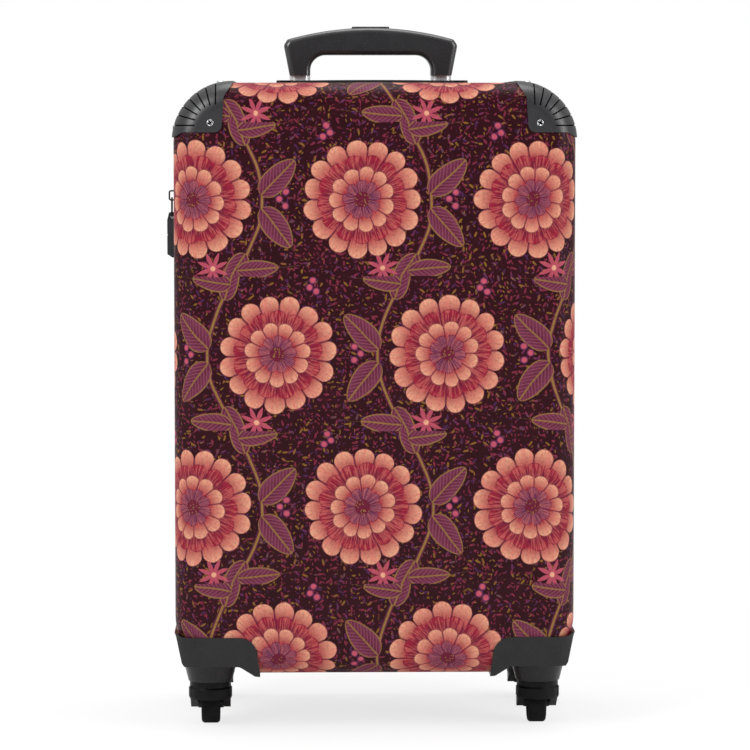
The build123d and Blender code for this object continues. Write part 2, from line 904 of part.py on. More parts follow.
def main():
    nodes = {}
    shell = half_shell()
    guard = top_guard()
    housing = wheel_housing()
    screws = guard_screws() + housing_screws()
    screws = screws + [left_right(s) for s in screws]
    nodes["front_shell"] = shell - screws
    nodes["rear_shell"] = to_rear(nodes["front_shell"]) - bezel_opening()
    for half, turn in (("front", lambda s: s), ("rear", to_rear)):
        nodes[f"{half}_zip_tape"] = turn(zip_tape())
        nodes[f"{half}_guard_left"] = turn(guard)
        nodes[f"{half}_guard_right"] = turn(left_right(guard))
        nodes[f"{half}_wheel_housing_left"] = turn(housing)
        nodes[f"{half}_wheel_housing_right"] = turn(left_right(housing))
        nodes[f"{half}_screws"] = Compound([turn(s) for s in screws])

    inset = shell_wall + lining_gap
    nodes["front_lining"] = half_lining(half_depth - inset, face_round - inset)
    nodes["rear_lining"] = to_rear(half_lining(half_depth - channel_depth, lining_round))
    nodes["hinge_gusset"] = hinge_gusset()
    nodes["lining_pocket"] = lining_pocket()
    spread = strap_spread / 2
    nodes["packing_straps"] = Compound(
        [Pos(x, 0, case_middle) * packing_strap() for x in (-spread, spread)]
    )
    nodes["strap_buckles"] = Compound([Pos(x, 0, 0) * strap_buckle() for x in (-spread, spread)])

    for half, y in (("front", -caster_seam_gap), ("rear", caster_seam_gap)):
        for side, x in (("left", -caster_x), ("right", caster_x)):
            name = f"{half}_{side}"
            nodes[f"{name}_fork"] = Pos(x, y, 0) * fork()
            nodes[f"{name}_stem"] = Pos(x, y, 0) * swivel_stem()
            nodes[f"{name}_axle"] = Pos(x, y, 0) * wheel_axle()
            nodes[f"{name}_hub"] = Pos(x, y, 0) * wheel_hub()
            nodes[f"{name}_tyre"] = Pos(x, y, 0) * tyre()

    half_pitch = tube_pitch / 2
    outer = slot_tube(
        outer_tube_width, outer_tube_depth, tube_wall, outer_tube_foot, case_top - bezel_wall
    )
    middle = slot_tube(
        middle_tube_width, middle_tube_depth, tube_wall, middle_tube_foot, case_top
    )
    inner = slot_tube(inner_tube_width, inner_tube_depth, tube_wall, inner_tube_foot, grip_base)
    for side, x in (("left", -half_pitch), ("right", half_pitch)):
        nodes[f"outer_tube_{side}"] = Pos(x, 0, 0) * outer
        nodes[f"middle_tube_{side}"] = Pos(x, 0, 0) * middle
        nodes[f"inner_tube_{side}"] = Pos(x, 0, 0) * inner
    nodes["middle_glides"] = pair(
        glide(
            middle_tube_width, middle_tube_depth, outer_tube_width, outer_tube_depth, middle_tube_foot
        )
    )
    nodes["inner_glides"] = pair(
        glide(
            inner_tube_width, inner_tube_depth, middle_tube_width, middle_tube_depth, inner_tube_foot
        )
    )
    nodes["handle_bezel"] = handle_bezel()
    nodes["tube_bracket"] = tube_bracket()
    nodes["grip_shell"] = grip_shell()
    nodes["grip_cover"] = grip_cover()
    nodes["grip_button"] = grip_button()
    nodes["lock_rods"] = pair(lock_rod())
    nodes["button_spring"] = button_spring()
    strap = carry_strap()
    nodes["carry_handle"] = strap
    end = carry_end() - strap
    nodes["carry_handle_ends"] = Compound([end, left_right(end)])
    nodes["zip_slider"] = zip_slider()
    nodes["pull_link"] = pull_link()
    nodes["pull_tab"] = pull_tab()

    os.makedirs("parts", exist_ok=True)
    for name, shape in nodes.items():
        export_step(shape, f"parts/{name}.step")


main()
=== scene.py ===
import math

import bmesh
import bpy
from mathutils import Matrix, Vector, noise


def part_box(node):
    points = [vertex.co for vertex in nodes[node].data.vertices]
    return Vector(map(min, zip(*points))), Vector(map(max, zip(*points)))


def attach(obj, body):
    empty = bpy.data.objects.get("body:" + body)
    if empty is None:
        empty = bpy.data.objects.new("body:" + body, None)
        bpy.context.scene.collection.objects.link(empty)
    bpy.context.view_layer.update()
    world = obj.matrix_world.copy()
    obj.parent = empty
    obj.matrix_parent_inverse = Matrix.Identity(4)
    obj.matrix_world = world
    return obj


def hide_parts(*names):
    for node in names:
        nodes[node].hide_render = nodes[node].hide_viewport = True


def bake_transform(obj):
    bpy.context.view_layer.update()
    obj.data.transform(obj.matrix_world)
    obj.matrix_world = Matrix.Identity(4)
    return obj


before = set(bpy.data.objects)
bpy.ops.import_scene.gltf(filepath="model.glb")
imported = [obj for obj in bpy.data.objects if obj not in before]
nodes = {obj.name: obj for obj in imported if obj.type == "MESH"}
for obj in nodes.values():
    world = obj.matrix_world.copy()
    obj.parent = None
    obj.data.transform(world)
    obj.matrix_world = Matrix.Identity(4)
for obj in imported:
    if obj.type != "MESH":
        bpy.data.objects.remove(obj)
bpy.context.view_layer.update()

# Sizes shared with the CAD, in metres
HALF_WIDTH = 0.175
HALF_DEPTH = 0.110
CASE_BASE = 0.051
CASE_TOP = 0.568
CASE_MIDDLE = (CASE_BASE + CASE_TOP) / 2
CORNER = 0.051
WALL = 0.0022
GUARD = 0.0016
SCREW_SUNK = 0.001
GROOVE_CENTRE = 0.037  # the fan's centre, in from the case's side and down from its top
GROOVE_START = 0.018
GROOVE_STEPS = 6


# Shader helpers

class Field:
    """A number that varies over a surface, with arithmetic."""

    def __init__(self, tree, socket):
        self.tree = tree
        self.socket = socket

    def op(self, kind, *others, flip=False):
        node = self.tree.nodes.new("ShaderNodeMath")
        node.operation = kind
        terms = (self, *others)
        if flip:
            terms = terms[::-1]
        for i, term in enumerate(terms):
            if isinstance(term, Field):
                self.tree.links.new(term.socket, node.inputs[i])
            else:
                node.inputs[i].default_value = term
        return Field(self.tree, node.outputs[0])

    def __add__(self, other):
        return self.op("ADD", other)

    __radd__ = __add__

    def __sub__(self, other):
        return self.op("SUBTRACT", other)

    def __rsub__(self, other):
        return self.op("SUBTRACT", other, flip=True)

    def __mul__(self, other):
        return self.op("MULTIPLY", other)

    __rmul__ = __mul__

    def __truediv__(self, other):
        return self.op("DIVIDE", other)

    def sin(self):
        return self.op("SINE")

    def cos(self):
        return self.op("COSINE")

    def abs(self):
        return self.op("ABSOLUTE")

    def sqrt(self):
        return self.op("SQRT")

    def floor(self):
        return self.op("FLOOR")

    def atan2(self, other):
        return self.op("ARCTAN2", other)

    def wrap(self, low, high):
        return self.op("WRAP", high, low)

    def max(self, other):
        return self.op("MAXIMUM", other)

    def min(self, other):
        return self.op("MINIMUM", other)

    def above(self, edge, soft=0.0001):
        """0 below the edge and 1 above it, over a soft step."""
        node = self.tree.nodes.new("ShaderNodeMapRange")
        node.interpolation_type = "SMOOTHSTEP"
        self.tree.links.new(self.socket, node.inputs["Value"])
        if isinstance(edge, Field):
            shifted = self - edge
            self.tree.links.new(shifted.socket, node.inputs["Value"])
            edge = 0.0
        node.inputs["From Min"].default_value = edge - soft
        node.inputs["From Max"].default_value = edge + soft
        return Field(self.tree, node.outputs["Result"])

    def below(self, edge, soft=0.0001):
        return 1 - self.above(edge, soft)


class Paint:
    """One material's node tree, with shorthand for the nodes it uses."""

    def __init__(self, name):
        self.material = bpy.data.materials.new(name)
        self.material.use_nodes = True
        self.tree = self.material.node_tree
        self.shader = self.tree.nodes["Principled BSDF"]
        coords = self.tree.nodes.new("ShaderNodeTexCoord")
        self.place = coords.outputs["Object"]
        self.normal = coords.outputs["Normal"]
        self.bumps = None

    def new(self, kind):
        return self.tree.nodes.new(kind)

    def split(self, socket):
        node = self.new("ShaderNodeSeparateXYZ")
        self.tree.links.new(socket, node.inputs[0])
        return [Field(self.tree, s) for s in node.outputs]

    def join(self, *parts):
        node = self.new("ShaderNodeCombineXYZ")
        for i, part in enumerate(parts):
            if isinstance(part, Field):
                self.tree.links.new(part.socket, node.inputs[i])
            else:
                node.inputs[i].default_value = part
        return node.outputs[0]

    def noise(self, scale, detail=2.0, rough=0.5, at=None):
        node = self.new("ShaderNodeTexNoise")
        node.inputs["Scale"].default_value = scale
        node.inputs["Detail"].default_value = detail
        node.inputs["Roughness"].default_value = rough
        self.tree.links.new(at or self.place, node.inputs["Vector"])
        return Field(self.tree, node.outputs["Fac"])

    def cells(self, scale, at=None):
        """Distance to the nearest of scattered points, and that point's random colour."""
        node = self.new("ShaderNodeTexVoronoi")
        node.inputs["Scale"].default_value = scale
        self.tree.links.new(at or self.place, node.inputs["Vector"])
        return Field(self.tree, node.outputs["Distance"]), node.outputs.get("Color")

    def mix(self, amount, low, high):
        """low where amount is 0 and high where it is 1; both are colours or sockets."""
        node = self.new("ShaderNodeMix")
        node.data_type = "RGBA"
        if isinstance(amount, Field):
            self.tree.links.new(amount.socket, node.inputs[0])
        else:
            node.inputs[0].default_value = amount
        for index, colour in ((6, low), (7, high)):
            if isinstance(colour, tuple):
                node.inputs[index].default_value = (*colour, 1)
            else:
                self.tree.links.new(colour, node.inputs[index])
        return node.outputs[2]

    def colour(self, socket):
        self.tree.links.new(socket, self.shader.inputs["Base Color"])

    def set(self, **values):
        for name, value in values.items():
            socket = self.shader.inputs[name.replace("_", " ").title().replace("Ior", "IOR")]
            if isinstance(value, Field):
                self.tree.links.new(value.socket, socket)
            else:
                socket.default_value = value

    def bump(self, height, distance, strength=1.0):
        """Adds a height field, in metres when it runs from 0 to 1."""
        node = self.new("ShaderNodeBump")
        node.inputs["Strength"].default_value = strength
        node.inputs["Distance"].default_value = distance
        self.tree.links.new(height.socket, node.inputs["Height"])
        if self.bumps:
            self.tree.links.new(self.bumps, node.inputs["Normal"])
        self.bumps = node.outputs[0]
        self.tree.links.new(self.bumps, self.shader.inputs["Normal"])


def srgb(code):
    """A colour written as six hex digits, as linear light."""
    parts = [int(code[i:i + 2], 16) / 255 for i in (0, 2, 4)]
    return tuple(p / 12.92 if p <= 0.04045 else ((p + 0.055) / 1.055) ** 2.4 for p in parts)


# The shell's print, with lengths in metres

COLUMN = 0.148
ROW = 0.134
ROW_START = 0.002
SWAY = 0.024
VINE_SIDE = 0.061
COLUMN_SHIFT = 0.02
PRINT_SHIFT = 0.026
WANDER = 0.0022
ROSETTE = 0.0515
STAR_AT = (0.018, -0.0595)
STAR_POINTS = 8

INK = srgb("24040a")
GROUND = srgb("380b17")
SPECK_PINK = srgb("8c3048")
SPECK_GOLD = srgb("94672c")
SPECK_PLUM = srgb("562a58")
PEACH = srgb("eaa888")
CORAL = srgb("d97268")
CRIMSON = srgb("9c2038")
WINE = srgb("6d1a34")
PLUM = srgb("54254e")
MAUVE = srgb("7b3a55")
LEAF = srgb("5d2038")
LEAF_LIGHT = srgb("93475a")
GOLD = srgb("96703c")
ROSE = srgb("c8566a")

# Scale of the scatter, a fleck's length and breadth, and a shift that makes each scatter another
FLECKS = ((165.0, 0.44, 0.15, 0.0), (250.0, 0.36, 0.13, 4.0))
# Foot, angle, length and width
LEAVES = (
    ((0.060, 0.004), 0.80, 0.042, 0.0110),
    ((0.060, -0.008), -0.90, 0.042, 0.0110),
    ((0.046, 0.047), 1.9, 0.034, 0.008),
    ((0.046, -0.047), -2.1, 0.036, 0.0085),
    ((0.040, 0.060), 0.15, 0.034, 0.008),
    ((0.040, -0.062), 0.1, 0.036, 0.008),
)
BERRIES = (
    (0.076, 0.0), (0.0815, 0.006), (0.0815, -0.006),
    (-0.028, 0.058), (-0.034, 0.0545), (-0.031, 0.064),
)
# Petals, outer and inner radius, turn, how round the tips are, and the colours at foot and tip
PETAL_RINGS = (
    (15, ROSETTE, 0.66 * ROSETTE, 0.0, 0.20, CRIMSON, PEACH),
    (13, 0.76 * ROSETTE, 0.44 * ROSETTE, 0.4, 0.20, WINE, CRIMSON),
    (11, 0.56 * ROSETTE, 0.28 * ROSETTE, 0.9, 0.24, CRIMSON, PEACH),
    (9, 0.33 * ROSETTE, 0.10 * ROSETTE, 0.2, 0.28, PLUM, MAUVE),
)


def petals(angle, radius, count, outer, inner, turn, scallop):
    """One ring of round-tipped petals: inside it, across a petal from -1 to 1, and along it from 0 to 1."""
    across = ((angle + turn) * (count / math.tau)).wrap(0.0, 1.0) * 2 - 1
    tip = (1 - across * across).max(0.0).sqrt()
    edge = outer * (1 - scallop) + tip * (outer * scallop)
    inside = (edge - radius).above(0.0, 0.00025)
    along = ((radius - inner) / (outer - inner)).max(0.0).min(1.0)
    return inside, across, along


def leaf(paint, x, y, base, angle, length, width, colour):
    """Paints one leaf over colour, in the motif's own plane."""
    across_x = x - base[0]
    up_y = y - base[1]
    run = across_x * math.cos(angle) + up_y * math.sin(angle)
    side = up_y * math.cos(angle) - across_x * math.sin(angle)
    along = run / length
    bell = (along * (1 - along)).max(0.0).sqrt() * 2
    taper = bell * (1.25 - along * 0.5) * width
    reach = side.abs()
    within = (taper - reach).above(0.0, 0.0003) * along.above(0.0, 0.01)
    vein = ((run - reach * 1.15) / 0.0042).wrap(0.0, 1.0)
    veins = (vein - 0.5).abs().below(0.16, 0.1)
    shade = paint.mix((reach / width).min(1.0) * 0.7 + along * 0.2, LEAF, MAUVE)
    lit = paint.mix(veins * 0.75, shade, LEAF_LIGHT)
    rib = reach.below(0.0007, 0.0004) + (taper - reach).below(0.0011, 0.0005)
    lined = paint.mix(rib.min(1.0) * 0.85, lit, GOLD)
    return paint.mix(within, colour, lined)


def flecked(paint, u, v, scale, long, short, shift):
    """Short dashes at all angles: whether inside a dash, and that dash's three random numbers."""
    node = paint.new("ShaderNodeTexVoronoi")
    node.inputs["Scale"].default_value = 1.0
    paint.tree.links.new(paint.join(u * scale, v * scale, shift), node.inputs["Vector"])
    at_x, at_y, _ = paint.split(node.outputs["Position"])
    tone = paint.split(node.outputs["Color"])
    turn = tone[0] * math.pi
    dx = u * scale - at_x
    dy = v * scale - at_y
    run = (dx * turn.cos() + dy * turn.sin()) / long
    side = (dy * turn.cos() - dx * turn.sin()) / short
    return (run * run + side * side).below(1.0, 0.3), tone


def printed_shell(name, front):
    """Satin shell film: a generic vine-and-rosette print that carries on round the edges."""
    paint = Paint(name)
    x, y, z = paint.split(paint.place)
    nx, ny, nz = paint.split(paint.normal)
    facing = (nx * nx + nz * nz).sqrt().max(0.0001)
    down = (HALF_DEPTH - y.abs()).max(0.0)
    drift_x = paint.noise(24.0, 1.0) * (2 * WANDER) - WANDER
    drift_z = paint.noise(21.0, 1.0, at=paint.join(z, x, 0.3)) * (2 * WANDER) - WANDER
    side = 1.0 if front else -1.0
    u = (x + nx / facing * down) * side + drift_x
    v = z + nz / facing * down + drift_z

    lifted = v + ROW_START
    row = (lifted / ROW).floor()
    odd = row.wrap(0.0, 2.0).above(0.5, 0.01) * 2 - 1
    local_y = lifted - (row + 0.5) * ROW
    centre_x = odd * (SWAY - VINE_SIDE)
    column = (((u - centre_x - PRINT_SHIFT) * odd - COLUMN_SHIFT) / COLUMN + 0.5).floor()
    local_x = (u - centre_x - PRINT_SHIFT) * odd - column * COLUMN
    seed = row * 3.7 + column * odd * 1.9

    streaks = paint.noise(1.0, 3.0, 0.6, at=paint.join(u * 420, v * 420, 0.0))
    soft = paint.noise(60.0, 2.0)

    # Ground, scattered with short brush flecks
    colour = paint.mix(soft, INK, GROUND)
    for scale, long, short, shift in FLECKS:
        flecks, tone = flecked(paint, u, v, scale, long, short, shift)
        colour = paint.mix(flecks * tone[1].below(0.34, 0.02) * 0.7, colour, SPECK_PINK)
        colour = paint.mix(flecks * tone[1].above(0.84, 0.02) * 0.75, colour, SPECK_GOLD)
        colour = paint.mix(flecks * tone[2].above(0.80, 0.02) * 0.7, colour, SPECK_PLUM)

    # Vine
    vine_x = (local_y * (math.pi / ROW)).cos() * SWAY + (VINE_SIDE - SWAY)
    slope = (local_y * (math.pi / ROW)).sin() * (SWAY * math.pi / ROW)
    off = (local_x - vine_x).abs() / (slope * slope + 1).sqrt()
    colour = paint.mix(off.below(0.0022, 0.0004), colour, LEAF)
    colour = paint.mix(off.below(0.0010, 0.0004), colour, GOLD)

    # Leaves on both sides of the vine
    for base, angle, length, width in LEAVES:
        colour = leaf(paint, local_x, local_y, base, angle, length, width, colour)

    # Small round berries in threes
    for bx, by in BERRIES:
        dx = local_x - bx
        dy = local_y - by
        reach = (dx * dx + dy * dy).sqrt()
        colour = paint.mix(reach.below(0.0034, 0.0003), colour, PLUM)
        colour = paint.mix(reach.below(0.0024, 0.0008), colour, ROSE)

    # Small stars
    star_x = local_x - STAR_AT[0]
    star_y = local_y - STAR_AT[1]
    star_r = (star_x * star_x + star_y * star_y).sqrt()
    ray = (star_y.atan2(star_x) * (STAR_POINTS / math.tau)).wrap(0.0, 1.0) * 2 - 1
    star = ((1 - ray.abs()) * 0.011 + 0.0035 - star_r).above(0.0, 0.0004)
    colour = paint.mix(star * (streaks * 0.4 + 0.6), colour, ROSE)
    colour = paint.mix(star_r.below(0.0022, 0.0005), colour, PEACH)

    # Rosette: rings of petals round a seed head
    radius = (local_x * local_x + local_y * local_y).sqrt()
    angle = local_y.atan2(local_x) + seed
    radius = radius * (paint.noise(30.0, 1.0) * 0.10 + 0.95)
    fine = paint.noise(1.0, 2.0, 0.6, at=paint.join(angle * 26, radius * 70, seed))
    lines = fine.above(0.52, 0.05)
    for count, outer, inner, turn, scallop, dark, light in PETAL_RINGS:
        inside, across, along = petals(angle, radius, count, outer, inner, turn, scallop)
        fade = (along * 1.25 - 0.12).max(0.0).min(1.0)
        body = paint.mix(fade, dark, light)
        body = paint.mix(lines * (1 - fade) * 0.55, body, CORAL)
        body = paint.mix(lines * fade * 0.55, body, CORAL)
        gap = across.abs().above(0.90, 0.06) * (1 - fade * 0.35)
        body = paint.mix(gap, body, WINE)
        rim = ((1 - across * across).max(0.0).sqrt() * (outer * scallop) + outer * (1 - scallop) - radius)
        body = paint.mix(rim.below(0.0006, 0.0003) * 0.8, body, WINE)
        colour = paint.mix(inside, colour, body)
    seeds, _ = paint.cells(1.0, at=paint.join(u * 480, v * 480, 0.0))
    head = paint.mix(seeds.below(0.28, 0.08), WINE, GOLD)
    colour = paint.mix(radius.below(0.13 * ROSETTE, 0.0004), colour, head)

    colour = paint.mix(streaks.above(0.56, 0.12) * 0.25, colour, INK)
    colour = paint.mix(0.24, colour, (0.0, 0.0, 0.0))

    # The inside of the shell is plain dark sheet
    sense = nx * x + ny * y + nz * (z - CASE_MIDDLE)
    colour = paint.mix(sense.below(0.0, 0.0005), colour, srgb("2a2a2d"))
    paint.colour(colour)
    paint.set(roughness=paint.noise(180.0, 2.0) * 0.10 + 0.36)
    paint.shader.inputs["Specular IOR Level"].default_value = 0.12
    grain, _ = paint.cells(900.0)
    paint.bump(grain, 0.00006, 0.25)
    return paint.material


# Other materials

def plastic(name, code, roughness, grain_scale, grain_depth, shine=0.5, shade_grooves=False):
    """Moulded plastic: a spark-eroded grain, with slightly uneven gloss, and painted shade in the guards'
    grooves when asked.
    """
    paint = Paint(name)
    base = srgb(code)
    lighter = tuple(min(1, c * 1.35 + 0.002) for c in base)
    tone = paint.mix(paint.noise(35.0, 3.0), base, lighter)
    if shade_grooves:
        # Painted shade: the guards' grooves are coloured near black, and their gloss is cut below
        tone = paint.mix(groove_shade(paint) * 0.9, tone, (0.002, 0.002, 0.002))
    paint.colour(tone)
    paint.set(roughness=paint.noise(90.0, 3.0) * 0.12 + (roughness - 0.06))
    gloss = paint.noise(60.0, 2.0) * 0.1 + (shine - 0.05)
    if shade_grooves:
        gloss = gloss * (1 - groove_shade(paint))
    paint.tree.links.new(gloss.socket, paint.shader.inputs["Specular IOR Level"])
    grain, _ = paint.cells(grain_scale)
    paint.bump(grain, grain_depth, 0.5)
    paint.bump(paint.noise(grain_scale * 0.6, 2.0), grain_depth, 0.4)
    return paint.material


def groove_shade(paint):
    """1 in the guards' fanned grooves, where shade is painted in dark, and 0 elsewhere."""
    x, _, z = paint.split(paint.place)
    across = x.abs() - (HALF_WIDTH - GROOVE_CENTRE)
    up = z - (CASE_TOP - GROOVE_CENTRE)
    radius = (across * across + up * up).sqrt()
    turn = up.atan2(across) * (GROOVE_STEPS / (math.pi / 2)) + 0.5
    off = (turn.wrap(0.0, 1.0) - 0.5).abs() * (math.pi / (2 * GROOVE_STEPS))
    slit = (off * radius).below(0.0006, 0.0002) * radius.above(GROOVE_START, 0.0003)
    return slit * across.above(-0.001, 0.0005) * up.above(-0.001, 0.0005)


def metal(name, code, roughness, along, metallic=1.0):
    """Metal with fine drawn lines along one axis."""
    paint = Paint(name)
    parts = paint.split(paint.place)
    scaled = [p * (6 if "xyz"[i] == along else 900) for i, p in enumerate(parts)]
    lines = paint.noise(1.0, 3.0, 0.6, at=paint.join(*scaled))
    base = srgb(code)
    darker = tuple(c * 0.86 for c in base)
    paint.colour(paint.mix(lines, darker, base))
    paint.shader.inputs["Metallic"].default_value = metallic
    paint.set(roughness=lines * 0.12 + (roughness - 0.06))
    paint.bump(lines, 0.00001, 0.3)
    return paint.material


def rubber(name, code, roughness):
    paint = Paint(name)
    base = srgb(code)
    dusty = tuple(c * 1.5 + 0.006 for c in base)
    paint.colour(paint.mix(paint.noise(120.0, 4.0).above(0.5, 0.2) * 0.6, base, dusty))
    paint.set(roughness=paint.noise(200.0, 2.0) * 0.15 + (roughness - 0.07))
    paint.shader.inputs["Specular IOR Level"].default_value = 0.15
    paint.bump(paint.noise(1500.0, 2.0), 0.00004, 0.4)
    return paint.material


def weave(name, code, pitch, depth, axes="xz", roughness=0.85, sheen=0.25):
    """Woven cloth with its threads along two axes, and painted light and shade on the threads."""
    paint = Paint(name)
    parts = dict(zip("xyz", paint.split(paint.place)))
    warp = parts[axes[0]] * (math.tau / pitch)
    weft = parts[axes[1]] * (math.tau / pitch)
    over = (warp * 0.5).sin() * (weft * 0.5).sin()
    thread = over.above(0.0, 0.35)
    height = thread * warp.sin().abs() + (1 - thread) * weft.sin().abs()
    base = srgb(code)
    light = tuple(c * 1.7 + 0.004 for c in base)
    blotch = paint.noise(45.0, 3.0)
    # Painted light and shade: the threads' crowns are coloured lighter and the hollows darker, with random
    # blotches on top
    paint.colour(paint.mix(height * 0.6 + blotch * 0.3, base, light))
    paint.set(roughness=blotch * 0.1 + (roughness - 0.05))
    paint.shader.inputs["Sheen Weight"].default_value = sheen
    paint.bump(height, depth, 0.8)
    return paint.material


def give(material, *names):
    for name in names:
        mesh = nodes[name].data
        mesh.materials.clear()
        mesh.materials.append(material)


front_print = printed_shell("shell print front", True)
rear_print = printed_shell("shell print rear", False)
# The guards take painted shade in their grooves
guard_plastic = plastic("guard plastic", "202022", 0.36, 1400.0, 0.00003, 0.6, shade_grooves=True)
case_plastic = plastic("case plastic", "09090a", 0.28, 1400.0, 0.00003, 0.34)
grip_plastic = plastic("grip plastic", "222224", 0.28, 1800.0, 0.00002, 0.8)
caster_plastic = plastic("caster plastic", "060607", 0.42, 1500.0, 0.00003, 0.13)
button_plastic = plastic("button plastic", "1c1c1e", 0.32, 1600.0, 0.00002)
tube_metal = metal("tube metal", "eeeff2", 0.32, "z", 0.45)
steel = metal("zinc steel", "dcdde0", 0.20, "x")
# Near-black metal for the screws' cross recesses: painted shade
recess_painted_shade = metal("recess painted shade", "1a1a1c", 0.45, "x")
dark_metal = metal("dark metal", "2b2b2d", 0.40, "z")
tyre_rubber = rubber("tyre rubber", "040405", 0.66)
hub_plastic = plastic("hub plastic", "0f0f10", 0.50, 1500.0, 0.00004, 0.3)
pull_rubber = rubber("pull rubber", "2a2a2d", 0.50)
tape_cloth = weave("tape cloth", "131314", 0.0009, 0.00012, "yz")
lining_cloth = weave("lining cloth", "3a3b40", 0.0011, 0.00010, "xz", 0.8, 0.35)
strap_cloth = weave("strap cloth", "1d1d20", 0.0016, 0.0002, "xz")

def four(pattern):
    """The names of the corners' four like pieces, from one with the half and the side left out."""
    return [pattern.format(half, side) for half in ("front", "rear") for side in ("left", "right")]


give(front_print, "front_shell")
give(rear_print, "rear_shell")
give(guard_plastic, *four("{}_guard_{}"))
give(case_plastic, *four("{}_wheel_housing_{}"))
give(case_plastic, "handle_bezel", "tube_bracket", "carry_handle_ends")
give(grip_plastic, "grip_shell", "grip_cover", "carry_handle")
give(button_plastic, "grip_button")
give(caster_plastic, *four("{}_{}_fork"))
give(steel, *four("{}_{}_stem"), *four("{}_{}_axle"))
give(steel, "lock_rods", "button_spring", "front_screws", "rear_screws")
give(hub_plastic, *four("{}_{}_hub"), "middle_glides", "inner_glides", "strap_buckles")
give(tyre_rubber, *four("{}_{}_tyre"))
give(tube_metal, *[f"{t}_tube_{s}" for t in ("outer", "middle", "inner") for s in ("left", "right")])
give(tape_cloth, "front_zip_tape", "rear_zip_tape", "hinge_gusset")
give(lining_cloth, "front_lining", "rear_lining", "lining_pocket")
give(strap_cloth, "packing_straps")
give(dark_metal, "zip_slider", "pull_link")
give(pull_rubber, "pull_tab")


# Added pieces, with lengths in metres

def smooth(value, low, high):
    t = min(1.0, max(0.0, (value - low) / (high - low)))
    return t * t * (3 - 2 * t)


def add_piece(name, vertices, faces, material, slot):
    mesh = bpy.data.meshes.new(name)
    mesh.from_pydata(vertices, [], faces)
    mesh.update()
    mesh.shade_smooth()
    mesh.materials.append(material)
    piece = bpy.data.objects.new(name, mesh)
    bpy.context.scene.collection.objects.link(piece)
    return piece


def join_parts(parts):
    """Several (vertices, faces) as one."""
    vertices, faces = [], []
    for some, rows in parts:
        start = len(vertices)
        vertices += some
        faces += [tuple(start + i for i in row) for row in rows]
    return vertices, faces


def placed(part, matrix):
    vertices, faces = part
    moved = [tuple(matrix @ Vector(v)) for v in vertices]
    if matrix.determinant() < 0:
        faces = [row[::-1] for row in faces]
    return moved, faces


def flipped(row):
    """A face turned to its other side."""
    return row[:1] + row[:0:-1]


def tube_faces(rings, sides):
    """The faces between closed rings of vertices, one ring after another."""
    faces = []
    for r in range(rings - 1):
        for k in range(sides):
            a, b = sides * r + k, sides * r + (k + 1) % sides
            faces.append((a, a + sides, b + sides, b))
    return faces


def spots(start, end, step):
    """Evenly stepped places from start up to end."""
    place = start
    while place < end:
        yield place
        place += step


SCREW_RADIUS = 0.0035
SCREW_HEIGHT = 0.0014
SHAFT_RADIUS = 0.0015
SHAFT_LENGTH = 0.0044
RECESS_ARM = 0.0024
RECESS_HALF = 0.00060
RECESS_DEPTH = 0.0010
SCREW_AROUND = 48
SCREW_RINGS = 16
# Each screw's place: on the guard's front, top and side, and two up into the wheel housing
FRONT_SCREW = (0.0322, 0.0347)
SIDE_SCREW_BACK = 0.060
TOP_SCREW_IN = 0.040
SIDE_SCREW_DOWN = 0.040
HOUSING_HEIGHT = 0.022
OUTER_HOUSING_SCREW = (0.016, -0.083)
INNER_HOUSING_SCREW = (0.050, -0.051)


def screw_height(x, y):
    """A pan head's surface over its underside, with a cross recess."""
    radius = math.hypot(x, y)
    rim = smooth(radius, 0.55 * SCREW_RADIUS, SCREW_RADIUS)
    dome = SCREW_HEIGHT * (1 - 0.75 * rim * rim)
    narrow, wide = sorted((abs(x), abs(y)))
    arm = 1 - smooth(narrow, RECESS_HALF - 0.00012, RECESS_HALF + 0.00022)
    arm *= 1 - smooth(wide, RECESS_ARM - 0.0003, RECESS_ARM + 0.0001)
    return dome - RECESS_DEPTH * arm


def screw_part():
    """One screw with the underside of its head at z = 0 and its shaft pointing down."""
    around = SCREW_AROUND
    radii = [SCREW_RADIUS * (k / SCREW_RINGS) ** 0.9 for k in range(1, SCREW_RINGS + 1)]
    vertices = [(0.0, 0.0, screw_height(0, 0))]
    faces = []
    for radius in radii:
        for k in range(around):
            a = math.tau * k / around
            x, y = radius * math.cos(a), radius * math.sin(a)
            vertices.append((x, y, screw_height(x, y)))
    for k in range(around):
        faces.append((0, 1 + k, 1 + (k + 1) % around))
    for ring in range(len(radii) - 1):
        for k in range(around):
            a, b = 1 + ring * around + k, 1 + ring * around + (k + 1) % around
            faces.append((a, a + around, b + around, b))
    last = 1 + (len(radii) - 1) * around
    loops = [
        (SCREW_RADIUS, 0.0),
        (SHAFT_RADIUS, 0.0),
        (SHAFT_RADIUS, -SHAFT_LENGTH),
        (0.0004, -SHAFT_LENGTH - 0.0004),
    ]
    for radius, height in loops:
        for k in range(around):
            a = math.tau * k / around
            vertices.append((radius * math.cos(a), radius * math.sin(a), height))
    for ring in range(len(loops)):
        start = last + ring * around
        for k in range(around):
            a, b = start + k, start + (k + 1) % around
            faces.append((a, a + around, b + around, b))
    faces.append(tuple(last + len(loops) * around + k for k in range(around)))
    return vertices, faces


def recessed(vertices, row):
    """Whether a face of the screw lies in its cross recess."""
    x = sum(vertices[i][0] for i in row) / len(row)
    y = sum(vertices[i][1] for i in row) / len(row)
    top = min(vertices[i][2] for i in row) > 0
    narrow, wide = sorted((abs(x), abs(y)))
    return top and narrow < RECESS_HALF and wide < RECESS_ARM


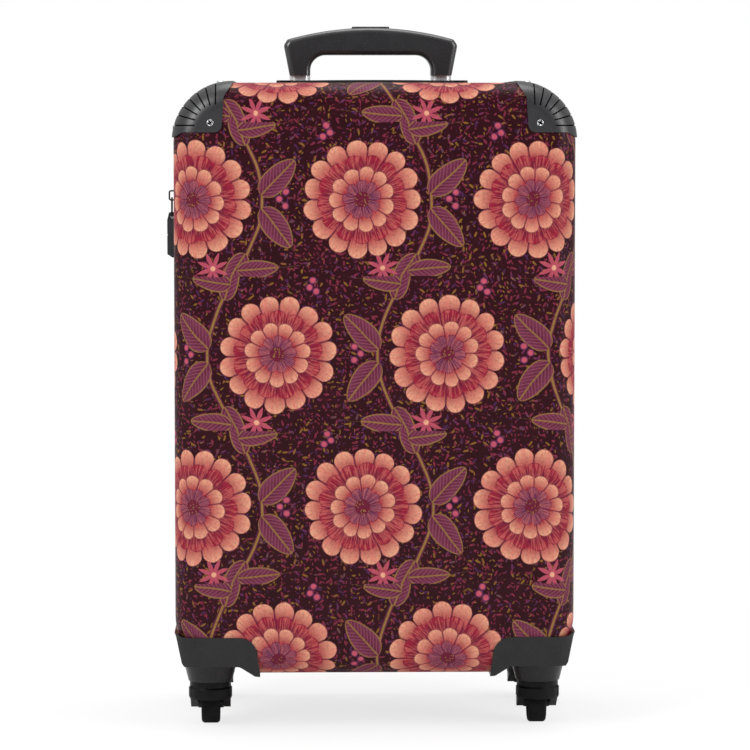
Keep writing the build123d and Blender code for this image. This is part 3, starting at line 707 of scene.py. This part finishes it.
def screws(half):
    """The half's ten screws, where the CAD has them."""
    sign = -1 if half == "front" else 1
    sunk = GUARD - SCREW_SUNK
    turn_x = Matrix.Rotation(math.radians(90), 4, "X")
    turn_y = Matrix.Rotation(math.radians(-90), 4, "Y")
    no_turn = Matrix.Identity(4)
    ceiling = CASE_BASE + HOUSING_HEIGHT + WALL
    back = SIDE_SCREW_BACK - HALF_DEPTH
    places = [
        ((FRONT_SCREW[0] - HALF_WIDTH, -HALF_DEPTH - sunk, CASE_TOP - FRONT_SCREW[1]), turn_x, 0.5),
        ((TOP_SCREW_IN - HALF_WIDTH, back, CASE_TOP + sunk), no_turn, 0.2),
        ((-HALF_WIDTH - sunk, back, CASE_TOP - SIDE_SCREW_DOWN), turn_y, 0.9),
        ((OUTER_HOUSING_SCREW[0] - HALF_WIDTH, OUTER_HOUSING_SCREW[1], ceiling), no_turn, 0.3),
        ((INNER_HOUSING_SCREW[0] - HALF_WIDTH, INNER_HOUSING_SCREW[1], ceiling), no_turn, 1.1),
    ]
    one = screw_part()
    parts = []
    for place, turn, spin in places:
        for side in (1, -1):
            flip = Matrix.Diagonal((side, -sign, 1, 1))
            at = flip @ Matrix.Translation(place) @ turn @ Matrix.Rotation(spin, 4, "Z")
            parts.append(placed(one, at))
    piece = add_piece(f"{half}_screw_set", *join_parts(parts), steel, "steel")
    # The cross recess's faces take the second, near-black material: painted shade in the recess
    piece.data.materials.append(recess_painted_shade)
    per_screw = len(one[1])
    dark = [recessed(one[0], row) for row in one[1]]
    for face in piece.data.polygons:
        if dark[face.index % per_screw]:
            face.material_index = 1
    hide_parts(f"{half}_screws")
    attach(piece, f"{half}_half")


def seam_path(inset, step):
    """Even points round the seam with their inward directions, anticlockwise from the right's middle."""
    half_x, half_z = HALF_WIDTH - inset, (CASE_TOP - CASE_BASE) / 2 - inset
    bend = CORNER - inset
    flat_x, flat_z = half_x - bend, half_z - bend
    quarter = math.pi / 2 * bend
    runs = [flat_z, quarter, 2 * flat_x, quarter, 2 * flat_z, quarter, 2 * flat_x, quarter, flat_z]
    total = sum(runs)
    count = round(total / step)
    found = []
    corners = ((flat_x, flat_z, 0), (-flat_x, flat_z, 90), (-flat_x, -flat_z, 180), (flat_x, -flat_z, 270))
    starts = (
        (half_x, 0, 90),
        (flat_x, half_z, 180),
        (-half_x, flat_z, 270),
        (-flat_x, -half_z, 0),
        (half_x, -flat_z, 90),
    )
    for k in range(count):
        s = total * (k + 0.5) / count
        run = 0
        while s > runs[run]:
            s -= runs[run]
            run += 1
        if run % 2:
            cx, cz, from_angle = corners[run // 2]
            a = math.radians(from_angle) + s / bend
            x, z = cx + bend * math.cos(a), cz + bend * math.sin(a)
            inward = (-math.cos(a), -math.sin(a))
        else:
            x0, z0, heading = starts[run // 2]
            h = math.radians(heading)
            x, z = x0 + s * math.cos(h), z0 + s * math.sin(h)
            inward = (-math.sin(h), math.cos(h))
        found.append(((x, CASE_MIDDLE + z), inward))
    return found


TOOTH_STEP = 0.0019
TOOTH_LOW, TOOTH_HIGH = 0.0002, 0.0031
TOOTH_HALF = 0.00055
TOOTH_REACH = 0.0008
TOOTH_ROUND = 0.0004
TOOTH_SIDES = 6
COIL_INSET = 0.0004
GUSSET_HALF = 0.172


def zip_teeth(half):
    """The nylon coil's turns, one rounded loop at a time."""
    sign = -1 if half == "front" else 1
    shift = 0.25 if half == "front" else -0.25
    low, high = TOOTH_LOW, TOOTH_HIGH
    tooth = ((low, 0.45), (low + TOOTH_ROUND, 1.0), (high - TOOTH_ROUND, 1.0), (high, 0.45))
    sides = TOOTH_SIDES
    parts = []
    for (x, z), inward in seam_path(COIL_INSET, TOOTH_STEP):
        if x > 0.15 and abs(z - CASE_MIDDLE) < GUSSET_HALF:
            continue
        inn = Vector((inward[0], 0, inward[1]))
        along = Vector((-inward[1], 0, inward[0]))
        start = Vector((x, 0, z)) + along * (shift * TOOTH_STEP)
        rings = []
        for y, grow in tooth:
            for k in range(sides):
                a = math.tau * k / sides
                point = start + along * (TOOTH_HALF * grow * math.cos(a))
                point += inn * (TOOTH_REACH + TOOTH_REACH * grow * math.sin(a))
                rings.append((point.x, sign * y, point.z))
        faces = tube_faces(len(tooth), sides)
        faces += [tuple(range(sides)), tuple(range(len(rings) - 1, len(rings) - 1 - sides, -1))]
        if sign < 0:
            faces = [flipped(row) for row in faces]
        parts.append((rings, faces))
    piece = add_piece(f"{half}_zip_coil", *join_parts(parts), coil_nylon, "tape")
    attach(piece, f"{half}_half")


def slab(rows, columns, point, back):
    """A closed thin sheet: point(u, v) gives its front for u, v from 0 to 1, and back leads to its back."""
    grid = [point(i / columns, j / rows) for j in range(rows + 1) for i in range(columns + 1)]
    behind = [tuple(Vector(p) + Vector(back)) for p in grid]
    size = len(grid)
    faces = []
    for j in range(rows):
        for i in range(columns):
            a = j * (columns + 1) + i
            b, c, d = a + 1, a + columns + 2, a + columns + 1
            faces += [(a, b, c, d), (size + d, size + c, size + b, size + a)]
    edge = list(range(columns + 1))
    edge += [j * (columns + 1) + columns for j in range(1, rows + 1)]
    edge += [rows * (columns + 1) + i for i in range(columns - 1, -1, -1)]
    edge += [j * (columns + 1) for j in range(rows - 1, 0, -1)]
    for a, b in zip(edge, edge[1:] + edge[:1]):
        faces.append((b, a, size + a, size + b))
    return [tuple(p) for p in grid] + behind, faces


THREAD_RADIUS = 0.00035
THREAD_SIDES = 6
THREAD_RISE = ((0.0, -0.6), (0.2, 0.35), (0.5, 0.6), (0.8, 0.35), (1.0, -0.6))


def stitch(start, end, out):
    """One raised thread from start to end, bulging along out."""
    start, end, out = Vector(start), Vector(end), Vector(out).normalized()
    along = (end - start).normalized()
    side = along.cross(out)
    rings = []
    for t, lift in THREAD_RISE:
        centre = start.lerp(end, t) + out * (THREAD_RADIUS * lift)
        for k in range(THREAD_SIDES):
            a = math.tau * k / THREAD_SIDES
            across, up = THREAD_RADIUS * math.cos(a), THREAD_RADIUS * math.sin(a)
            rings.append(tuple(centre + side * across + out * up))
    faces = tube_faces(len(THREAD_RISE), THREAD_SIDES)
    last = len(rings) - 1
    faces += [tuple(range(THREAD_SIDES)), tuple(range(last, last - THREAD_SIDES, -1))]
    return rings, faces


GUSSET_ROWS = (0.0106, 0.0128)
GUSSET_STITCH = 0.0028
GUSSET_STEP = 0.0040
GUSSET_END = 0.004


def gusset():
    """The fabric hinge: a strip with two stitched rows down each edge."""
    low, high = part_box("hinge_gusset")
    height = high[2] - low[2]
    width = high[1] - low[1]

    def skin(u, v):
        y = low[1] + width * u
        z = low[2] + height * v
        puff = 0.00035 * math.sin(math.pi * u) * noise.noise(Vector((y * 60, 3.1, z * 45)))
        return (high[0] - 0.0001 + min(0.0, puff), y, z)

    strip = slab(110, 18, skin, (low[0] - high[0] + 0.0002, 0, 0))
    piece = add_piece("hinge_gusset_cloth", *strip, tape_cloth, "tape")
    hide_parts("hinge_gusset")
    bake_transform(piece)
    for half, sign in (("front", -1), ("rear", 1)):
        rows = []
        for y in GUSSET_ROWS:
            for z in spots(low[2] + GUSSET_END, high[2] - 0.006, GUSSET_STEP):
                top = (high[0], sign * y, z + GUSSET_STITCH)
                rows.append(stitch((high[0], sign * y, z), top, (1, 0, 0)))
        thread = add_piece(f"{half}_gusset_stitches", *join_parts(rows), thread_cotton, "tape")
        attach(thread, f"{half}_half")


LINING_MESH = 0.011
LINING_EASE = 0.0015
# Each half, the y of its tray's floor, the depth of the tray's walls, and the sheet's flat area
LININGS = (
    ("front", -0.105, 0.0938, 0.3295),
    ("rear", 0.0655, 0.054, 0.2530),
)


def soften(node, name, material, amount, floor_y):
    """A sewn tray from its CAD solid: finer, with soft wrinkles into the gap behind it.

    It stays still over the wheel housings, whose blocks fill that gap.
    """
    source = nodes[node].data
    mesh = source.copy()
    mesh.name = name
    shape = bmesh.new()
    shape.from_mesh(mesh)
    bmesh.ops.remove_doubles(shape, verts=shape.verts, dist=1e-6)
    for _ in range(7):
        long = [e for e in shape.edges if e.calc_length() > LINING_MESH]
        if not long:
            break
        bmesh.ops.subdivide_edges(shape, edges=long, cuts=1)
        bmesh.ops.triangulate(shape, faces=[f for f in shape.faces if len(f.verts) > 3])
    half_z = (CASE_TOP - CASE_BASE) / 2
    for v in shape.verts:
        x, y, z = v.co
        up = z - CASE_MIDDLE
        near = smooth(max(0.072 - (half_z + up), 0.075 - (HALF_WIDTH - abs(x))), -0.02, 0.0)
        clear = 1 - near * smooth(-up, half_z - 0.085, half_z - 0.06) * smooth(abs(x), 0.085, 0.10)
        folds = noise.noise(Vector((x * 17, y * 9, z * 11)))
        folds += 0.5 * noise.noise(Vector((x * 43, y * 20 + 5, z * 31)))
        ease = amount * clear * smooth(folds, -0.45, 0.75)
        reach = smooth(abs(y), 0.018, 0.030)
        floor = smooth(abs(y), abs(floor_y) - 0.010, abs(floor_y) - 0.002)
        inner = smooth(0.165 - abs(x), 0.0, 0.03) * smooth(half_z - 0.012 - abs(up), 0.0, 0.03)
        v.co.y += math.copysign(ease * floor * inner, y)
        side = smooth(abs(x), 0.160, 0.168)
        end = smooth(abs(up), half_z - 0.014, half_z - 0.007)
        v.co.x += math.copysign(ease * reach * side * (1 - floor), x)
        v.co.z += math.copysign(ease * reach * end * (1 - floor), up)
    shape.to_mesh(mesh)
    shape.free()
    mesh.materials.clear()
    mesh.materials.append(material)
    mesh.shade_smooth()
    piece = bpy.data.objects.new(name, mesh)
    bpy.context.scene.collection.objects.link(piece)
    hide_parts(node)
    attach(piece, node.split("_")[0] + "_half")
    return piece


POCKET_THICK = 0.0008
POCKET_SEAM = 0.003
POCKET_STITCH = 0.003
POCKET_STEP = 0.0045


def pocket():
    """The lining's flat pocket, with a gathered elastic top."""
    low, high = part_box("lining_pocket")

    def skin(u, v):
        x = low[0] + (high[0] - low[0]) * u
        z = low[2] + (high[2] - low[2]) * v
        top = smooth(v, 0.86, 0.97)
        edge = smooth(min(u, 1 - u, v), 0.0, 0.06)
        puff = 0.5 + 0.5 * noise.noise(Vector((x * 25, 1, z * 18)))
        gather = top * 0.0006 * math.sin(u * 150) + 0.0012 * edge * puff
        return (x, high[1] - 0.0002 + gather * edge, z)

    sheet = slab(60, 150, skin, (0, -POCKET_THICK, 0))
    piece = add_piece("lining_pocket_cloth", *sheet, pocket_cloth, "lining")
    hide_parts("lining_pocket")
    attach(piece, "front_half")
    face = high[1] + 0.0002
    bottom = low[2] + POCKET_SEAM
    rows = []
    for x in spots(low[0] + 0.006, high[0] - 0.008, POCKET_STEP):
        rows.append(stitch((x, face, bottom), (x + POCKET_STITCH, face, bottom), (0, 1, 0)))
    for side in (low[0] + POCKET_SEAM, high[0] - POCKET_SEAM):
        for z in spots(low[2] + 0.008, high[2] - 0.012, POCKET_STEP):
            rows.append(stitch((side, face, z), (side, face, z + POCKET_STITCH), (0, 1, 0)))
    thread = add_piece("pocket_stitches", *join_parts(rows), thread_cotton, "lining")
    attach(thread, "front_half")


STRAP_WIDTH = 0.025
STRAP_RIPPLE = 0.00025
STRAP_STEPS = 90
# A strap's section, in shares of its width and its thickness
STRAP_SECTION = (
    (-0.5, 0.5), (-0.49, 0.05), (-0.46, 0.0), (0.0, -0.03), (0.46, 0.0),
    (0.49, 0.05), (0.5, 0.5), (0.46, 1.0), (-0.46, 1.0),
)


def straps():
    """Two elastic packing straps, with soft edges and a slight ripple."""
    low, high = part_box("packing_straps")
    width, thick = STRAP_WIDTH, high[1] - low[1]
    count, sides = STRAP_STEPS, len(STRAP_SECTION)
    parts = []
    for centre in (low[0] + width / 2, high[0] - width / 2):
        rings = []
        for k in range(count + 1):
            z = low[2] + (high[2] - low[2]) * k / count
            ripple = STRAP_RIPPLE * math.sin(z * 140 + centre * 20)
            for dx, dy in STRAP_SECTION:
                y = low[1] + thick * max(0.0, dy) + ripple * (dy < 0.9) * 0.5 + 0.0001
                rings.append((centre + dx * width, y, z))
        faces = [flipped(row) for row in tube_faces(count + 1, sides)]
        faces += [tuple(range(sides - 1, -1, -1)), tuple(sides * count + i for i in range(sides))]
        parts.append((rings, faces))
    piece = add_piece("packing_strap_webbing", *join_parts(parts), strap_cloth, "strap")
    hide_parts("packing_straps")
    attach(piece, "rear_half")


coil_nylon = plastic("coil nylon", "0d0d0e", 0.40, 3000.0, 0.00002)
thread_cotton = rubber("thread cotton", "2a2a2c", 0.8)
pocket_cloth = weave("pocket cloth", "26272b", 0.0014, 0.00016, "xz", 0.8, 0.3)

for name in ("front", "rear"):
    screws(name)
    zip_teeth(name)
gusset()
for half, floor_y, deep, area in LININGS:
    cloth = soften(f"{half}_lining", f"{half}_lining_cloth", lining_cloth, LINING_EASE, floor_y)
pocket()
straps()


# Floor, light and camera

FLOOR_RADIUS = 6.0
SHADOW_START, SHADOW_END = 0.35, 1.3
SHADOW_GLOW = 0.76


def stage_floor():
    mesh = bpy.data.meshes.new("floor")
    shape = bmesh.new()
    bmesh.ops.create_circle(shape, cap_ends=True, segments=64, radius=FLOOR_RADIUS)
    shape.to_mesh(mesh)
    shape.free()
    floor = bpy.data.objects.new("floor", mesh)
    bpy.context.scene.collection.objects.link(floor)
    material = bpy.data.materials.new("floor")
    material.use_nodes = True
    tree = material.node_tree
    diffuse = tree.nodes["Principled BSDF"]
    diffuse.inputs["Base Color"].default_value = (0.93, 0.93, 0.935, 1)
    diffuse.inputs["Roughness"].default_value = 1.0
    diffuse.inputs["Specular IOR Level"].default_value = 0.0
    glow = tree.nodes.new("ShaderNodeEmission")
    coords = tree.nodes.new("ShaderNodeTexCoord")
    length = tree.nodes.new("ShaderNodeVectorMath")
    length.operation = "LENGTH"
    fade = tree.nodes.new("ShaderNodeMapRange")
    fade.interpolation_type = "SMOOTHSTEP"
    fade.inputs["From Min"].default_value = SHADOW_START
    fade.inputs["From Max"].default_value = SHADOW_END
    fade.inputs["To Min"].default_value = SHADOW_GLOW
    path = tree.nodes.new("ShaderNodeLightPath")
    seen = tree.nodes.new("ShaderNodeMath")
    seen.operation = "MULTIPLY"
    mixer = tree.nodes.new("ShaderNodeMixShader")
    links = tree.links
    links.new(coords.outputs["Object"], length.inputs[0])
    links.new(length.outputs["Value"], fade.inputs["Value"])
    links.new(fade.outputs["Result"], seen.inputs[0])
    links.new(path.outputs["Is Camera Ray"], seen.inputs[1])
    links.new(seen.outputs[0], mixer.inputs["Fac"])
    links.new(diffuse.outputs[0], mixer.inputs[1])
    links.new(glow.outputs[0], mixer.inputs[2])
    links.new(mixer.outputs[0], tree.nodes["Material Output"].inputs["Surface"])
    mesh.materials.append(material)


def area_light(name, place, target, size, power):
    data = bpy.data.lights.new(name, "AREA")
    data.shape = "RECTANGLE"
    data.size, data.size_y = size
    data.energy = power
    lamp = bpy.data.objects.new(name, data)
    lamp.location = place
    aim = Vector(target) - Vector(place)
    lamp.rotation_euler = aim.to_track_quat("-Z", "Y").to_euler()
    bpy.context.scene.collection.objects.link(lamp)


def world_light(front, around, above):
    """A studio's surroundings: dark in front, light elsewhere, and plain white when looked at."""
    world = bpy.data.worlds.new("studio")
    bpy.context.scene.world = world
    world.use_nodes = True
    tree = world.node_tree
    coords = tree.nodes.new("ShaderNodeTexCoord")
    split = tree.nodes.new("ShaderNodeSeparateXYZ")
    tree.links.new(coords.outputs["Generated"], split.inputs[0])
    y, z = Field(tree, split.outputs[1]), Field(tree, split.outputs[2])
    level = y.above(-0.35, 0.45) * (around - front) + front
    level = level + z.above(0.55, 0.35) * (above - around)
    back = tree.nodes["Background"]
    back.inputs["Color"].default_value = (1, 1, 1, 1)
    tree.links.new(level.socket, back.inputs["Strength"])
    plain = tree.nodes.new("ShaderNodeBackground")
    plain.inputs["Color"].default_value = (1, 1, 1, 1)
    path = tree.nodes.new("ShaderNodeLightPath")
    mixer = tree.nodes.new("ShaderNodeMixShader")
    tree.links.new(path.outputs["Is Camera Ray"], mixer.inputs["Fac"])
    tree.links.new(back.outputs[0], mixer.inputs[1])
    tree.links.new(plain.outputs[0], mixer.inputs[2])
    tree.links.new(mixer.outputs[0], tree.nodes["World Output"].inputs["Surface"])


def camera(azimuth, height, distance, target, width):
    data = bpy.data.cameras.new("camera")
    data.sensor_width = 36.0
    data.lens = 36.0 * distance / width
    data.clip_end = 50
    eye = bpy.data.objects.new("camera", data)
    turn = math.radians(azimuth)
    target = Vector(target)
    eye.location = (target.x + distance * math.sin(turn), target.y - distance * math.cos(turn), height)
    eye.rotation_euler = (target - eye.location).to_track_quat("-Z", "Y").to_euler()
    bpy.context.scene.collection.objects.link(eye)
    bpy.context.scene.camera = eye


stage_floor()
world_light(front=0.10, around=0.55, above=0.9)
LIGHT_TARGET = (0, 0, 0.3)
area_light("key", (-1.9, -2.0, 1.9), LIGHT_TARGET, size=(1.2, 1.8), power=62)
area_light("fill", (2.3, -1.5, 1.3), LIGHT_TARGET, size=(0.9, 1.8), power=38)
area_light("top", (0.1, 0.2, 2.6), LIGHT_TARGET, size=(1.6, 1.2), power=22)
camera(azimuth=-1.3, height=0.545, distance=3.08, target=(-0.0002, -0.11, 0.3146), width=0.6500)
bpy.context.scene.view_settings.view_transform = "Standard"
